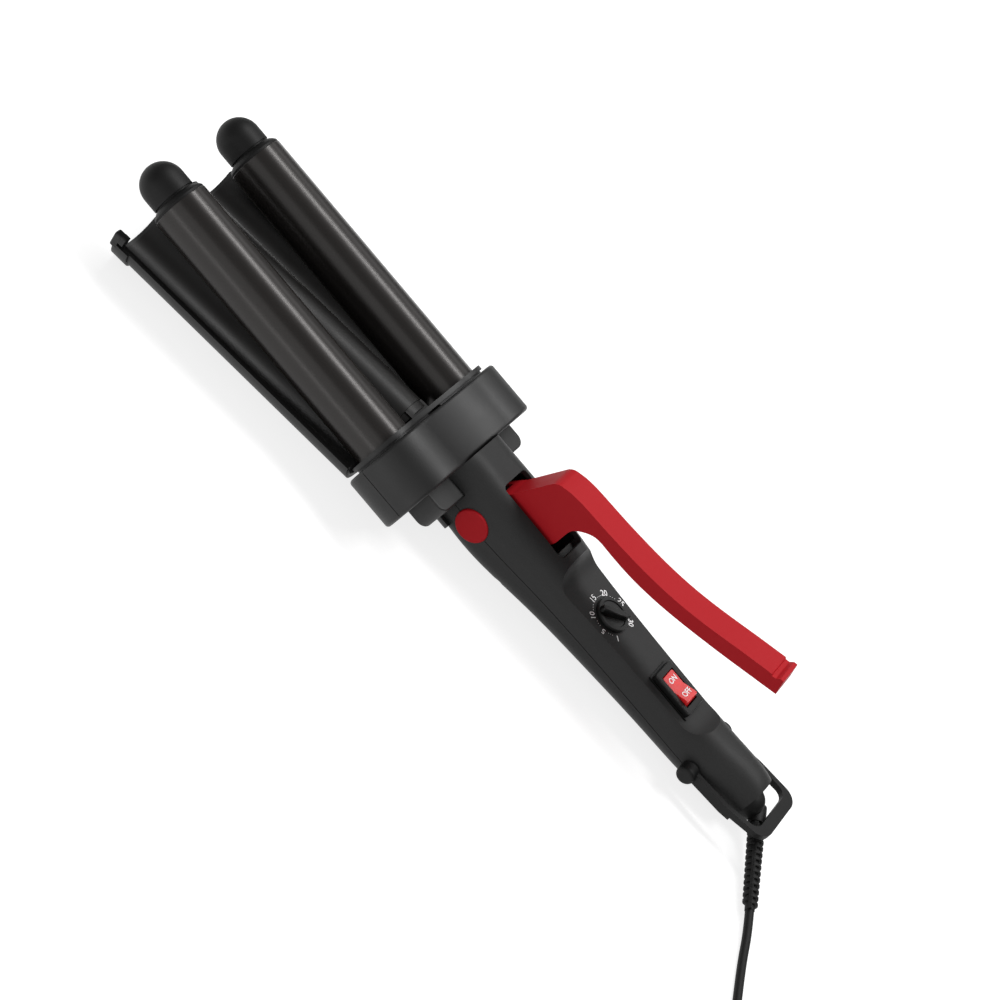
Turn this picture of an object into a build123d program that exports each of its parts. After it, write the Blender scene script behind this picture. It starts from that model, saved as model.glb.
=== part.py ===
from build123d import *
from math import acos, asin, atan2, cos, degrees, hypot, pi, radians, sin, tan
import os

os.makedirs("parts", exist_ok=True)

# Hair waver, all sizes in millimetres.
# The pieces are drawn in the iron's own frame: +X runs from the cool tips to the cord,
# +Y from the left barrel to the right one, +Z is the lever and dial side.
# The barrels' axes lie at z = 0, and x = 0 is 2.3 mm behind the front of the collar.
# At the end the whole iron is tipped so that it lies on a table on its jaw and its tail.

# ---------------------------------------------------------------- driving sizes

running = 0.05           # radial clearance of a pin or shaft in its hole
seat_gap = 0.10          # gap between pieces that are pushed together and stay put
free_gap = 0.35          # least gap between pieces that move past each other
wall = 2.2               # moulded housing wall

# barrels
barrel_d = 25.0
barrel_pitch = 55.0
barrel_wall = 1.2
barrel_front = -131.0    # the tube's end under the cool tip
barrel_root = 13.0       # the tube's end inside the collar
tip_flange_drop = 0.2    # the tip's flange stands this much below the tube's outside
shoulder_length = 3.3
tip_d = 19.5
tip_straight = 7.2
tip_groove = 0.8
spigot_length = 7.0

# collar
collar_front = -2.3
collar_back = 22.0
collar_r = 20.3          # about each barrel's axis
collar_valley = 14.7     # half height in the middle
collar_edge_r = 1.6
plate_r = 15.9
plate_valley = 10.6
plate_thickness = 2.0
plate_step = 1.0
plate_step_inset = 1.2

# pivot of jaw and lever
pivot_x = 43.4
pin_d = 4.0
pin_boss_d = 8.6
cap_d = 15.4
cap_sink = 1.6
cap_proud = 0.9
open_angle = 7.3         # the jaw stands open by this much at rest

# yoke
ear_reach = 34.4
ear_half_height = 7.2
yoke_back = 32.0
ear_corner_r = 4.5
yoke_core_half = 13.0
yoke_core_top = 12.4
yoke_core_bottom = -13.3
yoke_core_corner_r = 4.0

# tunnel for the jaw's arm, through plate, collar and yoke
tunnel_half = 8.0
tunnel_top = 9.6
tunnel_bottom = -11.4

# jaw
trough_gap = 0.5         # hair gap between a closed trough and its barrel
ridge_r = 12.5
ridge_drop = 2.0         # the ridge's centre below the barrels' axes
lip_drop = 2.7
sheet = 1.0
cover_sheet = 1.2
jaw_front = -138.0
jaw_root = -8.0          # at the height of the barrels' axes
jaw_root_slope = 8.0     # degrees, the root edge leans back under the collar
end_cap_length = 8.0
end_cap_face = 1.6
end_cap_wall = 0.9
tab_length = 5.6         # the lug on the left lip
tab_height = 8.3
tab_rise = 5.3           # above the lip
tab_reach = 1.6          # in front of the end cap
arm_half = 6.4
arm_front = -121.0
arm_depth = 5.0
head_half = 8.6          # the arm's head, which fills the ridge's end
head_length = 3.2
head_bottom = 2.0
tongue_half = 3.6
hub_r = 8.0

# housing: stations along X as (x, half width, top, bottom, upper corner, lower corner)
neck_half = 18.0
neck_top = 18.8
neck_bottom = -16.2
loop_half = neck_half - 4.7
tail_half = 12.0
tail_top = 15.9
tail_bottom = -7.8
tail_end = 203.5
panel_z = 10.7
panel_end = 166.6
panel_rise = 6.5         # the panel rises to the tail from this far before its end to this far behind
hump_back = 81.0
ramp_end = 91.0
parting_z = 0.0
seam_width = 0.3         # groove along the parting lines
seam_depth = 0.35
bay_end = 75.0

# slot for the lever
slot_front = 39.5
slot_back = 77.5
slot_half = 9.0
slot_corner_r = 2.5

# lever
lever_half = 7.0

# dial
dial_x = 108.6
dial_d = 16.0
dial_height = 4.2
dial_grip_width = 3.4
dial_shaft_d = 6.0
dial_rest_angle = 40.0   # the grip points to the highest setting

# switch
switch_x = 149.2
switch_length = 23.4
switch_width = 15.0
bezel_height = 3.2
switch_body_length = 19.0
switch_body_width = 12.6
switch_body_depth = 9.0
rocker_length = 15.4
rocker_width = 8.6
rocker_corner_r = 0.9
rocker_angle = 10.0      # each way from level
rocker_end_rise = 3.3    # top of the rocker above its axis, at its ends
rocker_mid_rise = 1.9
rocker_depth = 3.6

# hanging loop
loop_x = 177.3
loop_z = 1.6
loop_knob_d = 8.4
loop_knob_length = 5.6
loop_gap = 0.9           # between the loop's arms and the housing
loop_stud_d = 4.4
loop_end = 219.4
loop_rise = 7.7          # degrees
loop_end_half = 16.5
loop_bow_x = 20.0        # the arms bow out this far from the pivot
loop_bow = 1.5
loop_bar = 5.4
loop_arm = 2.3
loop_arm_height = 4.8
loop_step_x = 25.0       # from the pivot
loop_step = 1.4
loop_bar_bottom = -0.2
loop_stud = 2.8

# swivel, strain relief, cord
swivel_z = 2.0
swivel_r = 7.8
swivel_bore_r = 4.8
swivel_centre = 204.0
outlet_offset = 7.0
outlet_heading = -59.6   # degrees, on the table, from the barrels' line
outlet_dip = 7.4
relief_length = 40.0
relief_root_d = 7.6
relief_end_d = 5.4
relief_flange_d = 6.2
cord_d = 3.8
cord_length = 1800.0

# ---------------------------------------------------------------- sizes that follow

barrel_r = barrel_d / 2
barrel_y = barrel_pitch / 2
barrel_bore_r = barrel_r - barrel_wall
tip_r = tip_d / 2
tip_base = barrel_front - shoulder_length
collar_inner_front = collar_front + wall
collar_inner_back = collar_back - wall
trough_r = barrel_r + trough_gap
pivot = (pivot_x, 0, 0)
pin_r = pin_d / 2
cap_r = cap_d / 2
sides = (-1, 1)

# the jaw is drawn closed on the barrels and opened to its rest
opened = Pos(*pivot) * Rot(0, -open_angle, 0) * Pos(-pivot_x, 0, 0)


def across(x, y=0.0, z=0.0):
    """A plane square to the barrels, with its own axes along +Y and +Z."""
    return Plane(origin=(x, y, z), x_dir=(0, 1, 0), z_dir=(1, 0, 0))


def turned(point, angle):
    """A point (x, z) turned about the pivot, as a closing jaw turns."""
    dx, dz = point[0] - pivot_x, point[1]
    c, s = cos(radians(angle)), sin(radians(angle))
    return (pivot_x + dx * c + dz * s, dz * c - dx * s)


def waisted(end_r, valley):
    """Outline round both barrels: two end circles and the hollow arcs between them."""
    hollow_r = (barrel_y**2 + valley**2 - end_r**2) / (2 * (end_r - valley))
    hollow_z = hollow_r + valley
    share = end_r / (hollow_r + end_r)
    with BuildSketch() as outline:
        with Locations((-barrel_y, 0), (barrel_y, 0)):
            Circle(end_r)
        Rectangle(2 * barrel_y * (1 - share), 2 * hollow_z * share)
        with Locations((0, -hollow_z), (0, hollow_z)):
            Circle(hollow_r, mode=Mode.SUBTRACT)
    return outline.sketch


def waisted_body(inset):
    """The collar's outside, made smaller by an inset."""
    with BuildPart() as body:
        with BuildSketch(across(collar_front + inset)):
            add(waisted(collar_r - inset, collar_valley - inset))
        extrude(amount=collar_back - collar_front - 2 * inset)
    return body.part


def seam_line(front, back, half, core):
    """A thin slab at the parting height, without the core that it must not cut."""
    with BuildPart() as slab:
        with Locations(((front + back) / 2, 0, parting_z)):
            Box(back - front, 4 * (half + barrel_y), seam_width)
        add(core, mode=Mode.SUBTRACT)
    return slab.part


finished = []


def finish(builder, name, place=None):
    """Label a finished piece and keep it to be stood on the table with the others."""
    if place is not None:
        builder.part.move(place)
    builder.part.label = name
    finished.append(builder.part)


# ---------------------------------------------------------------- barrels and cool tips

def barrel(y):
    """A plain drawn tube with a broken edge at its front."""
    with BuildPart() as tube:
        with BuildSketch(across(barrel_front, y)):
            Circle(barrel_r)
            Circle(barrel_bore_r, mode=Mode.SUBTRACT)
        extrude(amount=barrel_root - barrel_front)
        front_edge = tube.faces().sort_by(Axis.X)[0].edges().sort_by(SortBy.LENGTH)[-1]
        chamfer(front_edge, length=tip_flange_drop)
    return tube


def cool_tip(y):
    """A moulded dome on a rounded flange, with a groove between them and a spigot for the bore."""
    spigot_r = barrel_bore_r - seat_gap
    flange_r = barrel_r - tip_flange_drop
    dome_x = tip_base - tip_straight
    bend = tip_base + 0.35 * shoulder_length, flange_r - 0.35 * (flange_r - tip_r)
    with BuildPart() as tip:
        with BuildSketch(Plane.XY):
            with BuildLine():
                Polyline(
                    (dome_x - tip_r, 0), (barrel_front + spigot_length, 0),
                    (barrel_front + spigot_length, spigot_r), (barrel_front, spigot_r),
                    (barrel_front, flange_r), (barrel_front - 0.3 * shoulder_length, flange_r))
                ThreePointArc(
                    (barrel_front - 0.3 * shoulder_length, flange_r), bend, (tip_base, tip_r))
                Polyline(
                    (tip_base, tip_r), (tip_base, tip_r - tip_groove),
                    (tip_base - tip_groove, tip_r - tip_groove), (tip_base - tip_groove, tip_r),
                    (dome_x, tip_r))
                ThreePointArc(
                    (dome_x, tip_r), (dome_x - tip_r * cos(pi / 4), tip_r * sin(pi / 4)),
                    (dome_x - tip_r, 0))
            make_face()
        revolve(axis=Axis.X)
    tip.part.move(Pos(0, y, 0))
    return tip


def heater_clamps(y):
    """Two aluminium half rounds that press the heating strip against the barrel."""
    with BuildPart() as clamps:
        with BuildSketch(across(heater_front)):
            with Locations((y, 0)):
                Circle(barrel_bore_r - running)
                Rectangle(barrel_d, strip_thickness + 2 * running, mode=Mode.SUBTRACT)
        extrude(amount=heater_back - heater_front)
    return clamps


def heating_strip(y):
    """The flat ceramic heater between the clamps, with its tail in the collar."""
    with BuildPart() as strip:
        with BuildSketch(across(heater_front + strip_inset, y)):
            Rectangle(strip_width, strip_thickness)
        extrude(amount=strip_tail - heater_front - strip_inset)
    return strip


heater_front = barrel_front + 8.0
heater_back = -24.0
strip_thickness = 3.0
strip_width = 14.0
strip_inset = 6.0
strip_tail = -6.0

for side_name, side in (("left", -1), ("right", 1)):
    finish(barrel(side * barrel_y), f"barrel_{side_name}")
    finish(cool_tip(side * barrel_y), f"cool_tip_{side_name}")
    finish(heater_clamps(side * barrel_y), f"heater_clamps_{side_name}")
    finish(heating_strip(side * barrel_y), f"heating_strip_{side_name}")

fuse_r = 2.0
fuse_length = 11.0
with BuildPart() as thermal_fuse:
    with Locations((heater_back + fuse_length / 2 + 1, -barrel_y, strip_thickness / 2 + fuse_r)):
        Cylinder(fuse_r, fuse_length, rotation=(0, 90, 0))
finish(thermal_fuse, "thermal_fuse")

bead_r = 1.3
with BuildPart() as thermistor:
    with Locations((heater_back + 4, barrel_y, strip_thickness / 2 + bead_r)):
        Cylinder(bead_r, 5.0, rotation=(0, 90, 0))
finish(thermistor, "thermistor")

# ---------------------------------------------------------------- base plate, seats, collar

tunnel_height = tunnel_top - tunnel_bottom
tunnel_mid = (tunnel_top + tunnel_bottom) / 2
plate_front = collar_front - plate_step - plate_thickness
hole_r = barrel_r + seat_gap

with BuildPart() as barrel_base_plate:
    with BuildSketch(across(plate_front)):
        add(waisted(plate_r, plate_valley))
    extrude(amount=plate_thickness)
    with BuildSketch(across(plate_front + plate_thickness)):
        add(waisted(plate_r - plate_step_inset, plate_valley - plate_step_inset))
    extrude(amount=plate_step)
    with BuildSketch(across(plate_front)):
        with Locations((-barrel_y, 0), (barrel_y, 0)):
            Circle(hole_r)
        with Locations((0, tunnel_top - barrel_d)):
            Rectangle(2 * tunnel_half, 2 * barrel_d)
    extrude(amount=plate_thickness + plate_step, mode=Mode.SUBTRACT)
finish(barrel_base_plate, "barrel_base_plate")

seat_r = collar_r - wall - seat_gap
seat_front = collar_inner_front
seat_back = collar_inner_back
ear_screw_z = 4.0
screw_r = 1.4            # core of the self-tapping screws
screw_head_r = 2.5
screw_head = 1.8
pilot_r = screw_r + running
clear_r = screw_r + 0.25


def barrel_seat(side):
    """A cup of heat-resistant plastic round the barrel's root, with a wire notch inside."""
    with BuildPart() as seat:
        with BuildSketch(across(seat_front, side * barrel_y)):
            Circle(seat_r)
        extrude(amount=seat_back - seat_front)
        with BuildSketch(across(seat_front, side * barrel_y)):
            Circle(barrel_r + running)
        extrude(amount=barrel_root - seat_front + running, mode=Mode.SUBTRACT)
        with BuildSketch(across(barrel_root, side * barrel_y)):
            with Locations((-side * seat_r * 0.75, 0)):
                Rectangle(seat_r * 0.7, 6.0)
        extrude(amount=seat_back - barrel_root, mode=Mode.SUBTRACT)
        with BuildSketch(across(barrel_root, side * barrel_y)):
            with Locations((0, -ear_screw_z), (0, ear_screw_z)):
                Circle(pilot_r)
        extrude(amount=seat_back - barrel_root, mode=Mode.SUBTRACT)
    return seat


finish(barrel_seat(-1), "barrel_seat_left")
finish(barrel_seat(1), "barrel_seat_right")

with BuildPart() as collar:
    with BuildSketch(across(collar_front)):
        add(waisted(collar_r, collar_valley))
    extrude(amount=collar_back - collar_front)
    ends = collar.faces().sort_by(Axis.X)
    fillet(ends[0].edges() + ends[-1].edges(), radius=collar_edge_r)
    with BuildSketch(across(collar_inner_front)):
        add(waisted(collar_r - wall, collar_valley - wall))
    extrude(amount=collar_inner_back - collar_inner_front, mode=Mode.SUBTRACT)
    with BuildSketch(across(collar_front)):
        with Locations((-barrel_y, 0), (barrel_y, 0)):
            Circle(hole_r)
    extrude(amount=wall, mode=Mode.SUBTRACT)
    with BuildSketch(across(collar_front)):
        with Locations((0, tunnel_mid)):
            Rectangle(2 * tunnel_half, tunnel_height)
    extrude(amount=collar_back - collar_front, mode=Mode.SUBTRACT)
    with BuildSketch(across(collar_inner_back)):
        with GridLocations(2 * barrel_y, 2 * ear_screw_z, 2, 2):
            Circle(clear_r)
    extrude(amount=wall, mode=Mode.SUBTRACT)
    add(seam_line(collar_front, collar_back, collar_r, waisted_body(seam_depth)), mode=Mode.SUBTRACT)

with BuildPart() as collar_upper_shell:
    add(collar.part)
    split(bisect_by=Plane.XY, keep=Keep.TOP)
finish(collar_upper_shell, "collar_upper_shell")

with BuildPart() as collar_lower_shell:
    add(collar.part)
    split(bisect_by=Plane.XY, keep=Keep.BOTTOM)
finish(collar_lower_shell, "collar_lower_shell")

# ---------------------------------------------------------------- mounting yoke

with BuildPart() as mounting_yoke:
    with BuildSketch(Plane.XY.offset(-ear_half_height)):
        with Locations(((collar_back + yoke_back) / 2, 0)):
            Rectangle(yoke_back - collar_back, 2 * ear_reach)
    extrude(amount=2 * ear_half_height)
    corners = mounting_yoke.edges().filter_by(Axis.Z).group_by(Axis.X)[-1]
    fillet(corners, radius=ear_corner_r)
    fillet(mounting_yoke.edges().filter_by(GeomType.CIRCLE), radius=0.8)
    with BuildSketch(across(collar_back)):
        with Locations((0, (yoke_core_top + yoke_core_bottom) / 2)):
            RectangleRounded(
                2 * yoke_core_half, yoke_core_top - yoke_core_bottom, yoke_core_corner_r)
    extrude(amount=yoke_back - collar_back)
    with BuildSketch(across(collar_back)):
        with Locations((0, tunnel_mid)):
            Rectangle(2 * tunnel_half, tunnel_height)
    extrude(amount=yoke_back - collar_back, mode=Mode.SUBTRACT)
    with BuildSketch(across(collar_back)):
        with GridLocations(2 * barrel_y, 2 * ear_screw_z, 2, 2):
            Circle(clear_r)
    extrude(amount=yoke_back - collar_back, mode=Mode.SUBTRACT)
    with BuildSketch(across(yoke_back - screw_head)):
        with GridLocations(2 * barrel_y, 2 * ear_screw_z, 2, 2):
            Circle(screw_head_r + seat_gap)
    extrude(amount=screw_head, mode=Mode.SUBTRACT)
finish(mounting_yoke, "mounting_yoke")

with BuildPart() as yoke_screws:
    with BuildSketch(across(yoke_back - screw_head)):
        with GridLocations(2 * barrel_y, 2 * ear_screw_z, 2, 2):
            Circle(screw_head_r)
    extrude(amount=screw_head - 0.2)
    with BuildSketch(across(yoke_back - screw_head)):
        with GridLocations(2 * barrel_y, 2 * ear_screw_z, 2, 2):
            Circle(screw_r)
    extrude(amount=-(yoke_back - screw_head - barrel_root - 1.0))
finish(yoke_screws, "yoke_screws")

# ---------------------------------------------------------------- handle housing

# station x, half width, top, bottom, upper corner radius, lower corner radius
stations = (
    (collar_back, neck_half, neck_top, neck_bottom, 12.5, 11.0),
    (pivot_x, neck_half, neck_top, neck_bottom, 12.5, 11.0),
    (62.0, neck_half - 0.6, 18.8, -15.8, 12.4, 11.0),
    (81.0, neck_half - 2.4, 18.4, -14.6, 12.0, 11.0),
    (98.0, neck_half - 3.5, 17.4, -13.6, 11.8, 11.0),
    (120.0, neck_half - 4.2, 16.5, -12.6, 11.8, 11.2),
    (148.0, neck_half - 4.6, 16.1, -11.5, 12.0, 11.8),
    (176.5, loop_half, 16.0, -10.7, 12.4, 12.4),
    (tail_end, tail_half, tail_top, tail_bottom, 11.6, 11.6),
)
board_front = 85.0
tail_wall = 4.5
neck_band_back = 37.4
neck_band = 1.5


def housing_section(station, inset=0.0):
    """One cross-section of the housing, a box with its own upper and lower corner radii."""
    x, half, top, bottom, upper_r, lower_r = station
    half, top, bottom = half - inset, top - inset, bottom + inset
    upper_r, lower_r = upper_r - inset, lower_r - inset
    with BuildSketch(across(x)) as section:
        with BuildLine():
            FilletPolyline(
                (half, bottom), (half, top), (-half, top), (-half, bottom),
                radius=(lower_r, upper_r, upper_r, lower_r), close=True)
        make_face()
    return section.sketch


def between(x, first, second):
    """The station at x between two listed ones, for a cavity that ends there."""
    t = (x - first[0]) / (second[0] - first[0])
    return tuple(a + (b - a) * t for a, b in zip(first, second))


def lofted(listed, inset=0.0):
    """The housing's outside, or a cavity inside it, through the listed stations."""
    with BuildPart() as body:
        for station in listed:
            add(housing_section(station, inset))
        loft()
    return body.part


posts = ((68.0, 11.9), (68.0, -11.9), (92.0, 0.0), (172.0, 0.0))
post_r = 3.9
post_seat_z = -7.5
handle_screw_length = 15.0
pilot_top = post_seat_z + handle_screw_length + 1.0
boss_inner = lever_half + 0.6
passage_half = 5.0
# control board, screwed to two posts under the panel, with the potentiometer on top
room_top = panel_z - wall
pot_size = 13.0
pot_height = 5.0
board_thickness = 1.6
board_half = 8.6
board_start = 97.0
board_length = 38.0
pot_bottom = room_top - pot_height
board_bottom = pot_bottom - board_thickness
board_post_r = 2.0
board_post_x = board_start + 3.0
board_post_y = 5.6
board_screw_r = 1.0
board_posts = [(board_post_x, side * board_post_y) for side in sides]

bay_end_station = between(bay_end, stations[2], stations[3])
cavity_end_station = between(tail_end - tail_wall, stations[7], stations[8])
board_start_station = between(board_front, stations[3], stations[4])

with BuildPart() as bay:
    add(lofted(stations[:3] + (bay_end_station,), wall))
    with Locations([(x, y, 0) for x, y in posts[:2]]):
        Cylinder(post_r, 2 * neck_half, mode=Mode.SUBTRACT)
    for side in sides:
        with BuildSketch(Plane.XZ.offset(-side * boss_inner)):
            with Locations((pivot_x, 0)):
                Circle(pin_boss_d / 2)
        extrude(amount=-side * neck_half, mode=Mode.SUBTRACT)

with BuildPart() as board_room:
    add(lofted((board_start_station,) + stations[4:8] + (cavity_end_station,), wall))
    with BuildSketch(Plane.XY.offset(panel_z - wall)):
        with Locations(((board_front + tail_end) / 2, 0)):
            Rectangle(tail_end, 3 * neck_half)
    extrude(amount=neck_half, mode=Mode.SUBTRACT)
    with Locations([(x, y, 0) for x, y in posts[2:]]):
        Cylinder(post_r, 2 * neck_half, mode=Mode.SUBTRACT)
    with Locations([(x, y, pot_bottom) for x, y in board_posts]):
        Cylinder(
            board_post_r, 2 * pot_height, align=(Align.CENTER, Align.CENTER, Align.MIN),
            mode=Mode.SUBTRACT)

switch_hole_length = switch_body_length + 2 * seat_gap
switch_hole_width = switch_body_width + 2 * seat_gap

band_stations = [between(x, stations[0], stations[1]) for x in (collar_back, neck_band_back)]
with BuildPart() as band:
    add(lofted(band_stations, -neck_band))
    split(bisect_by=Plane.XY.offset(-ear_half_height - 2.0), keep=Keep.BOTTOM)

with BuildPart() as housing:
    add(lofted(stations))
    add(band.part)
    # flat control panel behind the hump
    with BuildSketch(Plane.XZ):
        with BuildLine():
            ThreePointArc((hump_back, neck_top + 1), (hump_back + 3.6, panel_z + 2.6), (ramp_end, panel_z))
            Line((ramp_end, panel_z), (panel_end - panel_rise, panel_z))
            ThreePointArc(
                (panel_end - panel_rise, panel_z), (panel_end + 1.5, panel_z + 2.2),
                (panel_end + panel_rise, neck_top))
            Line((panel_end + panel_rise, neck_top), (panel_end + panel_rise, neck_top + 6))
            Line((panel_end + panel_rise, neck_top + 6), (hump_back, neck_top + 6))
            Line((hump_back, neck_top + 6), (hump_back, neck_top + 1))
        make_face()
    extrude(amount=2 * neck_half, both=True, mode=Mode.SUBTRACT)
    add(bay.part, mode=Mode.SUBTRACT)
    add(board_room.part, mode=Mode.SUBTRACT)
    # slot for the lever, longer above than inside
    with BuildSketch(Plane.XY.offset(neck_top - 6.0)):
        with Locations(((slot_front + slot_back) / 2, 0)):
            RectangleRounded(slot_back - slot_front, 2 * slot_half, slot_corner_r)
    extrude(amount=10.0, mode=Mode.SUBTRACT)
    # wire passage from the bay to the board room
    with BuildSketch(across(bay_end - 1.0, 0, -7.0)):
        RectangleRounded(2 * passage_half, 6.0, 1.5)
    extrude(amount=board_front - bay_end + 2.0, mode=Mode.SUBTRACT)
    # ears of the yoke
    with BuildSketch(across(collar_back)):
        Rectangle(3 * neck_half, 2 * (ear_half_height + seat_gap))
    extrude(amount=yoke_back - collar_back + seat_gap, mode=Mode.SUBTRACT)
    # pivot pin and the recesses of its caps
    with Locations(pivot):
        Cylinder(pin_r + running, 3 * neck_half, rotation=(90, 0, 0), mode=Mode.SUBTRACT)
    for side in sides:
        with BuildSketch(Plane.XZ.offset(-side * (neck_half - cap_sink))):
            with Locations((pivot_x, 0)):
                Circle(cap_r + seat_gap)
        extrude(amount=-side * 2 * cap_sink, mode=Mode.SUBTRACT)
    # dial shaft, switch, loop studs, swivel
    with Locations((dial_x, 0, panel_z)):
        Cylinder(dial_shaft_d / 2 + 0.4, 3 * wall, mode=Mode.SUBTRACT)
    with Locations((switch_x, 0, panel_z)):
        Box(switch_hole_length, switch_hole_width, 3 * wall, mode=Mode.SUBTRACT)
    with Locations((loop_x, 0, loop_z)):
        Cylinder(loop_stud_d / 2 + running, 3 * neck_half, rotation=(90, 0, 0), mode=Mode.SUBTRACT)
    with BuildSketch(across(tail_end - tail_wall - 1.0, 0, swivel_z)):
        Circle(swivel_bore_r + running)
    extrude(amount=2 * tail_wall, mode=Mode.SUBTRACT)
    # screws from below
    with Locations([(x, y, pot_bottom) for x, y in board_posts]):
        Cylinder(
            board_screw_r + running, 4.0, align=(Align.CENTER, Align.CENTER, Align.MIN),
            mode=Mode.SUBTRACT)
    with Locations([(x, y, 0) for x, y in posts]):
        Cylinder(pilot_r, pilot_top, align=(Align.CENTER, Align.CENTER, Align.MIN), mode=Mode.SUBTRACT)
        Cylinder(clear_r, neck_half, align=(Align.CENTER, Align.CENTER, Align.MAX), mode=Mode.SUBTRACT)
    with Locations([(x, y, post_seat_z) for x, y in posts]):
        Cylinder(
            screw_head_r + seat_gap, neck_half, align=(Align.CENTER, Align.CENTER, Align.MAX),
            mode=Mode.SUBTRACT)

    add(
        seam_line(yoke_back, tail_end, neck_half, lofted(stations, seam_depth)),
        mode=Mode.SUBTRACT)

with BuildPart() as handle_upper_shell:
    add(housing.part)
    split(bisect_by=Plane.XY.offset(parting_z), keep=Keep.TOP)
finish(handle_upper_shell, "handle_upper_shell")

with BuildPart() as handle_lower_shell:
    add(housing.part)
    split(bisect_by=Plane.XY.offset(parting_z), keep=Keep.BOTTOM)
finish(handle_lower_shell, "handle_lower_shell")

with BuildPart() as handle_screws:
    with Locations([(x, y, post_seat_z) for x, y in posts]):
        Cylinder(screw_head_r, screw_head, align=(Align.CENTER, Align.CENTER, Align.MAX))
        Cylinder(
            screw_r, handle_screw_length, align=(Align.CENTER, Align.CENTER, Align.MIN))
finish(handle_screws, "handle_screws")

# ---------------------------------------------------------------- pivot pin and caps

with BuildPart() as pivot_pin:
    with Locations(pivot):
        Cylinder(pin_r, 2 * (neck_half - cap_sink - seat_gap), rotation=(90, 0, 0))
finish(pivot_pin, "pivot_pin")


def pivot_cap(side):
    """A red snap-in disc with a softened rim over the end of the pin."""
    with BuildPart() as cap:
        with BuildSketch(Plane.XZ.offset(-side * (neck_half - cap_sink))):
            with Locations((pivot_x, 0)):
                Circle(cap_r)
        extrude(amount=-side * (cap_sink + cap_proud))
        rim = cap.edges().sort_by(Axis.Y)[-1 if side > 0 else 0]
        fillet(rim, radius=cap_proud * 0.9)
    return cap


finish(pivot_cap(-1), "pivot_cap_left")
finish(pivot_cap(1), "pivot_cap_right")

# ---------------------------------------------------------------- jaw, drawn closed on the barrels

flank = acos((trough_r + ridge_r) / hypot(barrel_y, ridge_drop)) + atan2(ridge_drop, barrel_y)
lip = asin(lip_drop / trough_r)
lay_gap = 0.05           # between the jaw's sheet and its cover


def wave_point(side, r, angle):
    """A point at radius r of one trough, its angle counted down from the outer side."""
    return (side * (barrel_y + r * cos(angle)), -r * sin(angle))


def wave(depth):
    """The jaw's line across, at a depth below its hair side: trough, flank, ridge, flank, trough."""
    trough, ridge = trough_r + depth, ridge_r - depth
    flank_top = (ridge * cos(flank), ridge * sin(flank) - ridge_drop)
    for side in sides:
        foot = wave_point(side, trough, pi - flank)
        middle = wave_point(side, trough, (lip + pi - flank) / 2)
        ThreePointArc(wave_point(side, trough, lip), middle, foot)
        Line(foot, (side * flank_top[0], flank_top[1]))
    ThreePointArc((-flank_top[0], flank_top[1]), (0, ridge - ridge_drop), flank_top)


def wave_band(top, bottom):
    """The folded section between two depths."""
    with BuildSketch() as band:
        with BuildLine():
            wave(top)
            wave(bottom)
            for side in sides:
                Line(wave_point(side, trough_r + top, lip), wave_point(side, trough_r + bottom, lip))
        make_face()
    return band.sketch


root_cut = Plane(
    origin=(jaw_root, 0, 0), x_dir=(0, 1, 0),
    z_dir=(cos(radians(jaw_root_slope)), 0, sin(radians(jaw_root_slope))))
cover_top = sheet + lay_gap
cover_bottom = cover_top + cover_sheet


def jaw_sheet(top, bottom):
    """A folded sheet from the jaw's tip to its leaning root edge."""
    with BuildPart() as folded:
        with BuildSketch(across(jaw_front)):
            add(wave_band(top, bottom))
        extrude(amount=-jaw_front)
        split(bisect_by=root_cut, keep=Keep.BOTTOM)
    return folded


finish(jaw_sheet(0, sheet), "wave_plate", opened)
finish(jaw_sheet(cover_top, cover_bottom), "jaw_back_cover", opened)

tab_r = trough_r + cover_bottom / 2
tab_angle = lip + (tab_height / 2 - tab_rise) / tab_r
tab_width = cover_bottom + end_cap_wall + 0.8
tab_corner_r = 1.4
tab_notch = 0.5          # between the lug's back half and the lip below it
notch_angle = lip - (tab_rise + tab_notch) / 2 / tab_r
with BuildPart() as jaw_end_cap:
    with BuildSketch(across(jaw_front - end_cap_face)):
        add(wave_band(0, cover_bottom + lay_gap + end_cap_wall))
    extrude(amount=end_cap_face)
    with BuildSketch(across(jaw_front)):
        add(wave_band(cover_bottom + lay_gap, cover_bottom + lay_gap + end_cap_wall))
    extrude(amount=end_cap_length - end_cap_face)
    with BuildSketch(across(jaw_front - end_cap_face - tab_reach)):
        with Locations(wave_point(-1, tab_r, tab_angle)):
            RectangleRounded(tab_width, tab_height, tab_corner_r, rotation=degrees(tab_angle))
    extrude(amount=end_cap_face + tab_reach)
    with BuildSketch(across(jaw_front)):
        with Locations(wave_point(-1, tab_r, notch_angle)):
            RectangleRounded(
                tab_width, tab_rise - tab_notch, tab_corner_r, rotation=degrees(notch_angle))
    extrude(amount=tab_length - end_cap_face - tab_reach)
    tab_front = jaw_end_cap.faces().sort_by(Axis.X)[0]
    fillet(tab_front.edges(), radius=0.8)
finish(jaw_end_cap, "jaw_end_cap", opened)

arm_r = ridge_r - cover_bottom - lay_gap
arm_top = arm_r - ridge_drop
head_top = arm_top + 0.9
jaw_screw_x = (-110.0, -82.0, -54.0)
lever_screw_points = ((50.5, 13.0), (56.5, 8.5))      # in the opened position

with BuildPart() as arm_head:
    with BuildSketch(across(jaw_root + 2.2)):
        with Locations((0, -ridge_drop)):
            Circle(ridge_r - 0.3)
        with Locations((0, head_bottom + ridge_r / 2)):
            Rectangle(2 * head_half, ridge_r, mode=Mode.INTERSECT)
    extrude(amount=-2 * head_length)
    split(bisect_by=root_cut.offset(seat_gap), keep=Keep.TOP)

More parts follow.
